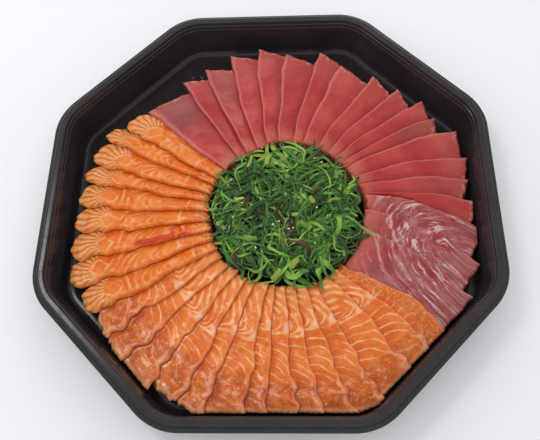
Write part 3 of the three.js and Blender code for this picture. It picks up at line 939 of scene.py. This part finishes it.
# %% Salmon back
def back_lines(tree, place, centre):
    """The striped fan, the diamond and the broken lines. Also where the tip and diamond lie."""
    along, share, seed = (place.outputs[n] for n in ("Along", "Share", "Seed"))
    vector = place.outputs["Vector"]
    side = times(tree, less(tree, share, 0.46), 18.0)
    width = calc(tree, "ABSOLUTE", side)
    up = less(tree, along, centre)
    uneven = times(tree, less(tree, noise(tree, vector, 0.12, 2.0), 0.5), 6.0)
    diamond = calc(tree, "MULTIPLY_ADD", calc(tree, "ABSOLUTE", up), 0.95, width)
    diamond = calc(tree, "ADD", diamond, uneven)
    roof = calc(tree, "MULTIPLY_ADD", width, 0.85, calc(tree, "ADD", up, times(tree, uneven, 0.7)))
    tip = ease(tree, roof, 7.4, 8.6)
    # The fan's stripes leave one point below the diamond.
    aside = calc(tree, "ADD", side, calc(tree, "MULTIPLY_ADD", seed, 5.0, -2.5))
    turn = calc(tree, "ARCTAN2", aside, calc(tree, "ADD", up, 4.0))
    phase = calc(tree, "MULTIPLY_ADD", turn, 5.0, times(tree, uneven, 0.07))
    stripes = use_group(tree, fat_lines, {"Phase": phase, "Width": 0.2, "Blur": 0.2})
    fan = times(tree, stripes.outputs["Mask"], tip, 0.8)
    worn = ease(tree, noise(tree, vector, 0.14, 2.0), 0.34, 0.56, 0.2, 0.8)
    edge_line = times(tree, near(tree, diamond, 6.4, 0.5, 1.9), worn)
    patch = ease(tree, diamond, 3.0, 6.0, 1.0, 0.0)
    squared = times(tree, side, side)
    curl = calc(tree, "MULTIPLY_ADD", ease(tree, along, 100.0, 122.0), -0.12, 0.06)
    curl = calc(tree, "MULTIPLY_ADD", seed, 0.05, curl)
    slant = times(tree, side, calc(tree, "MULTIPLY_ADD", seed, 0.9, -0.2))
    level = calc(tree, "ADD", calc(tree, "MULTIPLY_ADD", squared, curl, along), slant)
    sheet_phase = calc(tree, "DIVIDE", level, 5.2)
    sheets = use_group(tree, fat_lines, {"Phase": sheet_phase, "Width": 0.07, "Blur": 0.22})
    inside = times(tree, ease(tree, up, -9.0, -6.5, 1.0, 0.0), ease(tree, along, 76.0, 112.0, 0.15, 0.8))
    broken = ease(tree, noise(tree, vector, 0.14, 3.0, 0.6), 0.38, 0.58, 0.1, 1.0)
    sheet_lines = times(tree, sheets.outputs["Mask"], inside, broken)
    lines = calc(tree, "MAXIMUM", calc(tree, "MAXIMUM", fan, edge_line), sheet_lines)
    return lines, tip, patch


def back_blood(tree, place, base, blood_share):
    """Dark red muscle along the raised edge of the one slice that has it."""
    across, along = place.outputs["Across"], place.outputs["Along"]
    vector = place.outputs["Vector"]
    streak = times(tree, near(tree, across, 2.4, 0.8, 2.6), near(tree, along, 95.0, 12.0, 18.0))
    base = mix(tree, times(tree, streak, blood_share, 0.9), base, colour(192, 38, 16))
    mottle = ease(tree, noise(tree, vector, 0.18, 2.0), 0.42, 0.58)
    low_patch = times(tree, near(tree, along, 77.0, 4.0, 9.0), blood_share)
    base = mix(tree, times(tree, low_patch, mottle, 0.8), base, colour(198, 54, 28))
    pale = ease(tree, noise(tree, vector, 0.22, 3.0), 0.56, 0.66)
    return mix(tree, times(tree, low_patch, pale, 0.7), base, colour(236, 178, 158))


def salmon_back():
    material, tree, shader = new_material("salmon back flesh")
    place = use_group(tree, flesh_place, {"Wander": 4.5, "Wander size": 0.08})
    along, share, seed = (place.outputs[n] for n in ("Along", "Share", "Seed"))
    vector = place.outputs["Vector"]
    facts = use_group(tree, slice_facts, {})
    lines, tip, patch = back_lines(tree, place, facts.outputs["First"])
    deep = noise(tree, vector, 0.08, 3.0, 0.6)
    base = mix(tree, ease(tree, deep, 0.35, 0.65), colour(218, 100, 18), colour(228, 122, 36))
    base = mix(tree, times(tree, patch, 0.3), base, colour(232, 138, 64))
    base = mix(tree, times(tree, tip, 0.75), base, colour(200, 108, 44))
    # Painted shade: darker orange where the slice slips under the next one.
    base = mix(tree, ease(tree, share, 0.74, 1.02, 0.0, 0.55), base, colour(200, 82, 24))
    base = mix(tree, times(tree, lines, 0.75), base, colour(240, 182, 118))
    long_way = add(tree, "ShaderNodeMapping", {"Vector": vector, "Scale": (0.16, 0.06, 0.3)})
    smudge = ease(tree, noise(tree, out(long_way), 1.0, 4.0, 0.65), 0.54, 0.7)
    smudge = times(tree, smudge, ease(tree, along, 116.0, 106.0), 0.6)
    base = mix(tree, smudge, base, colour(240, 178, 122))
    frayed = ease(tree, noise(tree, vector, 0.45, 3.0, 0.7), 0.46, 0.6)
    frayed = times(tree, ease(tree, along, 74.0, 60.0), frayed)
    base = mix(tree, times(tree, frayed, 0.7), base, colour(242, 182, 134))
    cut_at = calc(tree, "MULTIPLY_ADD", seed, 14.0, 66.0)
    cut_line = ease(tree, noise(tree, vector, 0.2), 0.42, 0.52)
    cut_line = times(tree, near(tree, along, cut_at, 0.3, 1.5), cut_line)
    base = mix(tree, times(tree, cut_line, 0.7), base, colour(242, 180, 130))
    # Painted highlight: lighter along the raised edge of each slice.
    base = mix(tree, ease(tree, share, 0.16, 0.34, 0.35, 0.0), base, colour(234, 142, 70))
    base = back_blood(tree, place, base, facts.outputs["Third"])
    film = use_group(tree, wet_film, {"Scale": 150.0, "Dry": 0.34, "Wet": 0.1, "Relief": 1.1})
    height = calc(tree, "MULTIPLY_ADD", lines, 0.8, film.outputs["Height"])
    finish_flesh(tree, shader, base, film.outputs["Roughness"], height, 0.0006,
                 ease(tree, deep, 0.4, 0.7, 0.1, 0.4))
    flesh_shader(shader, 0.4, (1.0, 0.4, 0.12), 0.12)
    return material


belly_look = salmon_belly()
back_look = salmon_back()
print("salmon materials:", belly_look.name, "and", back_look.name)

# %% Lay all the slices
FLESH = {"tuna": (tuna_look, "tuna_flesh"), "salmon_thin": (belly_look, "salmon_belly_flesh"),
         "salmon_thick": (back_look, "salmon_back_flesh")}
BELLY_SEAMS = (87, 87, 87, 85.5, 85.5, 88.5, 85.5, 84.5, 92.5, 93.5, 99.5, 98, 93, 93)
# Dark red muscle at each outer end. Below zero the slice shows clear belly without lines.
BELLY_BLOOD = (-1, 0.3, 0.6, 0.7, 0.4, 0.4, 0.8, 0.8, 1, 0.7, 0.4, 1, 1, 1)
DIAMONDS = (132, 137, 131, 128, 131, 128, 129, 130, 122)
DUSTY, DEEP = -1.0, 0.9
TENDON_EYES = {17: (25, 126), 18: (11, 120), 19: (-5, 124)}


def pattern_facts(kind, number):
    if kind == "salmon_thin":
        return BELLY_SEAMS[number - 1], 1.1 if number < 9 else 1.9, BELLY_BLOOD[number - 1]
    if kind == "salmon_thick":
        return DIAMONDS[number - 1], 0, float(number == 3)
    tone = {1: DUSTY, 2: DEEP}.get(number, 0.75 * nudge(number, 21))
    eye_across, eye_along = TENDON_EYES.get(number, (0, 0))
    return eye_across, tone, eye_along


for index, entry in enumerate(ring):
    kind, number = entry["kind"], entry["number"]
    node = f"{kind}_{number:02d}"
    look, slot = FLESH[kind]
    if kind == "tuna" and number in TENDON_EYES:
        look = tendon_look
    piece = skin_slice(node + "_slice", index, look, pattern_facts(kind, number))
    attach(piece, "root")
    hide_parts(node)
print("slices laid:", COUNT)

# %% [markdown]
# ## Seaweed salad
# The salad is a tangle of glossy strips. Modelling every strip by hand would take days, so a
# Geometry Nodes tree scatters short bent curves, bends them more with noise, settles each on its
# own height above a surface and sweeps a flat section along it. The same tree makes the wide
# leaves, the narrow ribbons, the threads, the pale stems and the dark mushroom strips. They
# settle on a low dome whose brim lies on the inner ends of the slices. A solid core fills the
# middle, so that nobody sees through the heap.

# %% Core of the heap
HEAP_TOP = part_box("seaweed_heap")[1][2] / MM
CORE_SHARE = 0.94
SIDES = 120


def round_surface(name, centre_height, rows):
    """A surface from a middle point and closed rows of SIDES points, in millimetres."""
    points = [(*MIDDLE, centre_height)]
    for row in rows:
        for j, (radius, height) in enumerate(row):
            angle = 2 * math.pi * j / SIDES
            x, y = MIDDLE[0] + radius * math.cos(angle), MIDDLE[1] + radius * math.sin(angle)
            points.append((x, y, height))
    faces = [(0, 1 + j, 1 + (j + 1) % SIDES) for j in range(SIDES)]
    for i in range(len(rows) - 1):
        for j in range(SIDES):
            a, b = 1 + i * SIDES + j, 1 + i * SIDES + (j + 1) % SIDES
            faces.append((a, a + SIDES, b + SIDES, b))
    mesh = bpy.data.meshes.new(name)
    mesh.from_pydata([tuple(v * MM for v in p) for p in points], [], faces)
    mesh.shade_smooth()
    return put_in(name, mesh)


def core_point(angle, spread):
    radius = float(heap_reach(angle)) * CORE_SHARE * min(1, spread * 1.02)
    rise = (1 - spread ** 3.2) ** 0.5 if spread < 1 else 0
    lump = 0.9 * math.sin(radius / 5 + 3 * angle) * math.sin(7 * angle + radius / 8) * min(1, 3 * rise)
    return radius, PANEL_TOP + REST_GAP + (HEAP_TOP * CORE_SHARE - PANEL_TOP - 2) * rise + lump


def around(make, spreads):
    return [[make(2 * math.pi * j / SIDES, spread) for j in range(SIDES)] for spread in spreads]


core_rows = around(core_point, np.linspace(0, 1, 31)[1:])
core = round_surface("seaweed_core", HEAP_TOP * CORE_SHARE - 2, core_rows)
close_up(core.data)
print("core:", len(core.data.vertices), "points")

# %% Dome that the strips settle on
DOME_TOP = HEAP_TOP - 1.2
BRIM_OUT = 3.0
FRINGE = 13.0


def slices_top(angle, radius):
    """About how high the slices lie here, just under their raised edges."""
    edges = np.degrees(edge_angle(np.arange(COUNT), np.full(COUNT, radius)))
    turned = (edges[0] - math.degrees(angle)) % 360
    place = np.interp(turned, np.append(edges[0] - edges, 360), np.arange(COUNT + 1.0))
    whole = np.array([min(place, COUNT - 0.001)])
    return float(PANEL_TOP + REST_GAP + step_height(whole)[0] * (overlap(radius) + 0.5))


def dome_point(angle, spread):
    brim = float(heap_reach(angle)) + BRIM_OUT
    low = slices_top(angle, brim)
    if spread <= 1:
        lump = 0.7 * math.sin(9 * spread + 3 * angle) * math.sin(4 * angle + 5 * spread) * spread
        return brim * spread, low + (DOME_TOP - low) * (1 - spread ** 2.4) ** 0.75 + lump * (1 - spread)
    return brim + (spread - 1) * FRINGE, slices_top(angle, brim + (spread - 1) * FRINGE)


dome_rows = around(dome_point, list(np.linspace(0, 1, 21)[1:]) + [1.3, 1.6, 2.0])
dome = round_surface("salad_dome", DOME_TOP, dome_rows)
print("dome from", round(min(v.co.z for v in dome.data.vertices) / MM, 1), "to", round(DOME_TOP, 1), "mm")

# %% [markdown]
# Seaweed is a thin wet skin that lets light through: every strip has its own green, with lighter
# and darker stretches, and a sharp gloss from the dressing. The colour of a strip comes from the
# number that the tree stored on it.

# %% Seaweed looks
def strand_look(name, dark, middle, light, wet=0.12, through=0.3):
    material, tree, shader = new_material(name)
    own = out(add(tree, "ShaderNodeAttribute", attribute_name="strand"), "Fac")
    where = out(add(tree, "ShaderNodeTexCoord"), "Object")
    patch = noise(tree, where, 110.0, 3.0, 0.6)
    tone = calc(tree, "MULTIPLY_ADD", calc(tree, "SUBTRACT", patch, 0.5), 1.0, own)
    region = noise(tree, where, 42.0, 1.0)
    tone = calc(tree, "MULTIPLY_ADD", calc(tree, "SUBTRACT", region, 0.5), 1.1, tone)
    base = mix(tree, ease(tree, tone, 0.1, 0.6), colour(*dark), colour(*middle))
    base = mix(tree, ease(tree, tone, 0.62, 1.0), base, colour(*light))
    tree.links.new(base, shader.inputs["Base Color"])
    film = use_group(tree, wet_film, {"Scale": 240.0, "Dry": wet + 0.2, "Wet": wet, "Relief": 0.3})
    tree.links.new(film.outputs["Roughness"], shader.inputs["Roughness"])
    bump = add(tree, "ShaderNodeBump", {"Height": film.outputs["Height"], "Strength": 0.5,
                                        "Distance": 0.0005})
    tree.links.new(out(bump), shader.inputs["Normal"])
    shader.inputs["Subsurface Weight"].default_value = through
    shader.inputs["Subsurface Radius"].default_value = (0.3, 1.0, 0.2)
    shader.inputs["Subsurface Scale"].default_value = 0.002
    shader.inputs["Coat Weight"].default_value = 0.4
    shader.inputs["Coat Roughness"].default_value = 0.04
    shader.inputs["Specular IOR Level"].default_value = 0.15
    return material


leaf_look = strand_look("seaweed leaf", (38, 70, 22), (66, 114, 38), (126, 174, 62))
thread_look = strand_look("seaweed thread", (36, 74, 30), (76, 124, 50), (156, 180, 98))
stem_look = strand_look("seaweed stem", (92, 124, 40), (134, 152, 56), (182, 190, 98), 0.2)
mushroom_look = strand_look("black mushroom", (34, 20, 6), (74, 48, 16), (134, 104, 40), 0.08, 0.05)
# The core's dark greens are painted shade: seaweed deep in the heap's shadow, seen through the gaps.
core_look = strand_look("seaweed in shadow", (10, 24, 12), (18, 42, 18), (28, 60, 26), 0.3, 0.0)
core.data.materials.append(core_look)

# %% Strand tree
def within(tree, position, middle, reach):
    """1 for points that lie nearer than reach to the upright line through the middle."""
    offset = vector_calc(tree, "SUBTRACT", position, middle)
    level = vector_calc(tree, "MULTIPLY", offset, (1, 1, 0))
    away = add(tree, "ShaderNodeVectorMath", {0: level}, operation="LENGTH")
    return calc(tree, "LESS_THAN", out(away, "Value"), reach)


strands, given, result = new_group(
    "strands on a heap", "GeometryNodeTree",
    {"Geometry": ("NodeSocketGeometry", None), "Density": (FLOAT, 9000.0), "Seed": ("NodeSocketInt", 1),
     "Middle": (VECTOR, (0.0, 0.0, 0.0)), "Reach": (FLOAT, 0.05), "Cluster": (FLOAT, 0.0),
     "Shortest": (FLOAT, 0.012), "Longest": (FLOAT, 0.03), "Width": (FLOAT, 0.0026),
     "Flatness": (FLOAT, 0.22), "Curl": (FLOAT, 0.5), "Bend": (FLOAT, 0.02), "Lowest": (FLOAT, 0.0),
     "Highest": (FLOAT, 0.004), "Wave": (FLOAT, 0.004), "Twist": (FLOAT, 3.0),
     "Points": ("NodeSocketInt", 14), "Blunt": (FLOAT, 0.3), "Material": ("NodeSocketMaterial", None)},
    {"Geometry": "NodeSocketGeometry"})
position = out(add(strands, "GeometryNodeInputPosition"))
inside = within(strands, position, given["Middle"], given["Reach"])
groups = add(strands, "ShaderNodeTexNoise",
             {"Vector": position, "W": given["Seed"], "Scale": 42.0, "Detail": 0.0}, noise_dimensions="4D")
clustered = calc(strands, "GREATER_THAN", out(groups), given["Cluster"])
spread = add(strands, "GeometryNodeDistributePointsOnFaces",
             {"Mesh": given["Geometry"], "Density": given["Density"], "Seed": given["Seed"],
              "Selection": calc(strands, "MULTIPLY", inside, clustered)})
own = out(add(strands, "FunctionNodeRandomValue", {"Seed": given["Seed"]}))
marked = add(strands, "GeometryNodeStoreNamedAttribute",
             {"Geometry": out(spread), "Name": "strand", "Value": own}, domain="POINT")
belly_point = add(strands, "ShaderNodeCombineXYZ", {1: given["Curl"]})
line = add(strands, "GeometryNodeCurveQuadraticBezier",
           {"Resolution": 24, "Start": (-0.5, 0, 0), "Middle": belly_point.outputs[0], "End": (0.5, 0, 0)})
stepped = add(strands, "GeometryNodeResampleCurve", {"Curve": out(line), "Count": given["Points"]})
spin = add(strands, "FunctionNodeRandomValue", {"Min": (0, 0, 0), "Max": (0, 0, 2 * math.pi)},
           data_type="FLOAT_VECTOR")
spin_rotation = add(strands, "FunctionNodeEulerToRotation", {"Euler": out(spin)})
facing = add(strands, "FunctionNodeRotateRotation",
             {"Rotation": out(spread, "Rotation"), "Rotate By": out(spin_rotation)}, rotation_space="LOCAL")
length_share = out(add(strands, "FunctionNodeRandomValue", {"Seed": 77}))
length_span = calc(strands, "SUBTRACT", given["Longest"], given["Shortest"])
length = calc(strands, "MULTIPLY_ADD", length_share, length_span, given["Shortest"])
size = add(strands, "ShaderNodeCombineXYZ", {0: length, 1: length, 2: length})
placed = add(strands, "GeometryNodeInstanceOnPoints",
             {"Points": out(marked), "Instance": out(stepped), "Rotation": out(facing),
              "Scale": size.outputs[0]})
real = add(strands, "GeometryNodeRealizeInstances", {"Geometry": out(placed)})

number = out(add(strands, "GeometryNodeInputNamedAttribute", {"Name": "strand"}), "Attribute")
wander = add(strands, "ShaderNodeTexNoise",
             {"Vector": position, "W": calc(strands, "MULTIPLY", number, 40.0), "Scale": 55.0, "Detail": 1.0},
             noise_dimensions="4D")
centred = vector_calc(strands, "SUBTRACT", wander.outputs["Color"], (0.5, 0.5, 0.5))
swing = vector_calc(strands, "SCALE", centred, scale=given["Bend"])
bent = add(strands, "GeometryNodeSetPosition", {"Geometry": out(real), "Offset": swing})
nearest = add(strands, "GeometryNodeProximity", {0: given["Geometry"]}, target_element="FACES")
normal = add(strands, "GeometryNodeSampleNearestSurface",
             {"Mesh": given["Geometry"], "Value": out(add(strands, "GeometryNodeInputNormal"))},
             data_type="FLOAT_VECTOR")
layer = calc(strands, "FRACT", calc(strands, "MULTIPLY", number, 7.31))
layer = calc(strands, "MULTIPLY_ADD", layer, calc(strands, "SUBTRACT", given["Highest"], given["Lowest"]),
             given["Lowest"])
ripple = add(strands, "ShaderNodeTexNoise",
             {"Vector": position, "W": calc(strands, "MULTIPLY", number, 90.0), "Scale": 75.0, "Detail": 0.0},
             noise_dimensions="4D")
lift = calc(strands, "MULTIPLY_ADD", calc(strands, "SUBTRACT", out(ripple), 0.5), given["Wave"], layer)
above = vector_calc(strands, "SCALE", out(normal), scale=lift)
settled_at = vector_calc(strands, "ADD", out(nearest), above)
settled = add(strands, "GeometryNodeSetPosition", {"Geometry": out(bent), "Position": settled_at})
upright = add(strands, "GeometryNodeSetCurveNormal", {"Curve": out(settled)}, mode="FREE")
strands.links.new(out(normal), upright.inputs["Normal"])
tilt_noise = calc(strands, "SUBTRACT", out(ripple), 0.5)
tilt = calc(strands, "MULTIPLY", tilt_noise, calc(strands, "MULTIPLY", given["Twist"], 3.0))
tilted = add(strands, "GeometryNodeSetCurveTilt", {"Curve": out(upright), "Tilt": tilt})
factor = out(add(strands, "GeometryNodeSplineParameter"), "Factor")
taper = calc(strands, "SINE", calc(strands, "MULTIPLY", factor, math.pi))
taper = calc(strands, "POWER", calc(strands, "MAXIMUM", taper, 0.001), 0.4)
taper = calc(strands, "MAXIMUM", taper, given["Blunt"])
slim = calc(strands, "FRACT", calc(strands, "MULTIPLY", number, 13.7))
slim = calc(strands, "MULTIPLY_ADD", slim, 0.8, 0.5)
half_width = calc(strands, "MULTIPLY", calc(strands, "MULTIPLY", taper, slim),
                  calc(strands, "MULTIPLY", given["Width"], 0.5))
circle = add(strands, "GeometryNodeCurvePrimitiveCircle", {"Resolution": 10, "Radius": 1.0})
flat = add(strands, "ShaderNodeCombineXYZ", {0: given["Flatness"], 1: 1.0, 2: 1.0})
profile = add(strands, "GeometryNodeTransform", {"Geometry": out(circle), "Scale": flat.outputs[0]})
ribbon = add(strands, "GeometryNodeCurveToMesh",
             {"Curve": out(tilted), "Profile Curve": out(profile), "Scale": half_width, "Fill Caps": True})
smooth = add(strands, "GeometryNodeSetShadeSmooth", {"Geometry": out(ribbon)})
tree_result(strands, result, out(smooth), given["Material"])
print("strand tree nodes:", len(strands.nodes))

# %% Scatter the salad
SALAD = {
    "seaweed_leaves": {"Density": 46000.0, "Seed": 3, "Shortest": 0.016, "Longest": 0.034,
                       "Width": 0.0036, "Flatness": 0.1, "Curl": 0.34, "Bend": 0.016, "Lowest": -0.001,
                       "Highest": 0.0030, "Wave": 0.005, "Twist": 1.5, "Points": 12,
                       "Blunt": 0.45, "Material": leaf_look},
    "seaweed_ribbons": {"Density": 30000.0, "Seed": 8, "Shortest": 0.012, "Longest": 0.030,
                        "Width": 0.0021, "Flatness": 0.3, "Bend": 0.02, "Lowest": 0.0,
                        "Highest": 0.0036, "Wave": 0.005, "Twist": 2.0, "Points": 12,
                        "Material": leaf_look},
    "seaweed_threads": {"Density": 5000.0, "Seed": 11, "Shortest": 0.012, "Longest": 0.026,
                        "Width": 0.0009, "Flatness": 0.6, "Bend": 0.022, "Lowest": 0.001,
                        "Highest": 0.0042, "Wave": 0.004, "Twist": 1.0, "Points": 12,
                        "Material": thread_look},
    "seaweed_stems": {"Density": 2200.0, "Seed": 21, "Shortest": 0.005, "Longest": 0.010,
                      "Width": 0.0038, "Flatness": 0.5, "Curl": 0.15, "Bend": 0.004, "Lowest": 0.0016,
                      "Highest": 0.0038, "Wave": 0.002, "Twist": 0.6, "Points": 7, "Blunt": 0.85,
                      "Material": stem_look},
    "mushroom_strips": {"Density": 14000.0, "Seed": 33, "Cluster": 0.6, "Shortest": 0.010,
                        "Longest": 0.019, "Width": 0.0038, "Flatness": 0.28, "Bend": 0.012,
                        "Lowest": 0.001, "Highest": 0.0036, "Wave": 0.004, "Twist": 1.6, "Points": 12,
                        "Blunt": 0.5, "Material": mushroom_look},
}
SALAD_MIDDLE = (MIDDLE[0] * MM, MIDDLE[1] * MM, 0.0)
STRAND_REACH = 48.0 * MM
salad = []
for name, values in SALAD.items():
    values["Middle"] = SALAD_MIDDLE
    values["Reach"] = STRAND_REACH
    piece = grow(dome, strands, values, name)
    salad.append(piece)
    print(name, len(piece.data.polygons), "faces")

# %% [markdown]
# White sesame seeds are sprinkled over the salad. A seed is a tiny flattened egg, so one small
# mesh is put on scattered points and made real.

# %% Sesame seeds
seeds, given, result = new_group(
    "seeds on a heap", "GeometryNodeTree",
    {"Geometry": ("NodeSocketGeometry", None), "Density": (FLOAT, 9000.0), "Seed": ("NodeSocketInt", 5),
     "Middle": (VECTOR, (0.0, 0.0, 0.0)), "Reach": (FLOAT, 0.05), "Length": (FLOAT, 0.0026),
     "Height": (FLOAT, 0.005), "Material": ("NodeSocketMaterial", None)},
    {"Geometry": "NodeSocketGeometry"})
position = out(add(seeds, "GeometryNodeInputPosition"))
spread = add(seeds, "GeometryNodeDistributePointsOnFaces",
             {"Mesh": given["Geometry"], "Density": given["Density"], "Seed": given["Seed"],
              "Selection": within(seeds, position, given["Middle"], given["Reach"])})
marked = add(seeds, "GeometryNodeStoreNamedAttribute",
             {"Geometry": out(spread), "Name": "strand",
              "Value": out(add(seeds, "FunctionNodeRandomValue", {"Seed": given["Seed"]}))}, domain="POINT")
up = vector_calc(seeds, "SCALE", out(spread, "Normal"), scale=given["Height"])
raised = add(seeds, "GeometryNodeSetPosition", {"Geometry": out(marked), "Offset": up})
ball = add(seeds, "GeometryNodeMeshUVSphere", {"Segments": 8, "Rings": 6, "Radius": 0.5})
egg = add(seeds, "GeometryNodeTransform", {"Geometry": out(ball), "Scale": (1.0, 0.62, 0.36)})
turns = add(seeds, "FunctionNodeRandomValue", {"Min": (-0.5, -0.5, 0), "Max": (0.5, 0.5, 6.283)},
            data_type="FLOAT_VECTOR")
turned = add(seeds, "FunctionNodeEulerToRotation", {"Euler": out(turns)})
facing = add(seeds, "FunctionNodeRotateRotation",
             {"Rotation": out(spread, "Rotation"), "Rotate By": out(turned)}, rotation_space="LOCAL")
size = add(seeds, "ShaderNodeCombineXYZ", {0: given["Length"], 1: given["Length"], 2: given["Length"]})
placed = add(seeds, "GeometryNodeInstanceOnPoints",
             {"Points": out(raised), "Instance": out(egg), "Rotation": out(facing),
              "Scale": size.outputs[0]})
smooth = add(seeds, "GeometryNodeSetShadeSmooth", {"Geometry": out(placed)})
tree_result(seeds, result, out(smooth), given["Material"])
seed_look = strand_look("sesame", (176, 160, 110), (212, 200, 150), (236, 228, 190), 0.3)
sesame = grow(dome, seeds, {"Density": 2600.0, "Seed": 5, "Middle": SALAD_MIDDLE, "Reach": 0.05,
                            "Length": 0.0021, "Height": 0.0034,
                            "Material": seed_look}, "sesame_seeds")
bpy.data.objects.remove(dome)
print("sesame faces:", len(sesame.data.polygons))

# %% [markdown]
# ## Water drops
# A few clear drops lie on the floor behind the tuna, where the wet fish dripped. A drop on
# plastic is a shallow cap on a flat foot, so each is a ball squashed low whose lower half is
# pressed flat onto the floor.

# %% Water drops
DROPS = ((118, 147, 1.7), (120.3, 150, 1.1), (115.6, 149, 0.8), (72, 134, 1.9), (74.5, 136.5, 1.2),
         (70, 137, 0.9))
DROP_HEIGHT = 0.5
water_look, tree, shader = new_material("water")
where = out(add(tree, "ShaderNodeTexCoord"), "Object")
trembling = add(tree, "ShaderNodeBump", {"Height": noise(tree, where, 500.0), "Strength": 0.1,
                                         "Distance": 0.0003})
tree.links.new(out(trembling), shader.inputs["Normal"])
shader.inputs["Base Color"].default_value = (0.98, 0.99, 1.0, 1.0)
shader.inputs["Roughness"].default_value = 0.02
shader.inputs["IOR"].default_value = 1.33
shader.inputs["Transmission Weight"].default_value = 1.0
work = bmesh.new()
for angle, radius, size in DROPS:
    angle = math.radians(angle)
    spot = Vector((MIDDLE[0] + radius * math.cos(angle), MIDDLE[1] + radius * math.sin(angle), 0)) * MM
    made = bmesh.ops.create_uvsphere(work, u_segments=16, v_segments=10, radius=size * MM)
    for vert in made["verts"]:
        vert.co.z = max(vert.co.z, 0) * DROP_HEIGHT + (PANEL_TOP + 0.02) * MM
        vert.co += spot
drop_mesh = bpy.data.meshes.new("water_drops")
work.to_mesh(drop_mesh)
work.free()
drop_mesh.materials.append(water_look)
drop_mesh.shade_smooth()
drops = put_in("water_drops", drop_mesh)
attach(drops, "root")
print("water drops:", len(DROPS))

# %% Put the salad on the plate
for piece in salad + [sesame, core]:
    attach(piece, "root")
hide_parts("seaweed_heap")
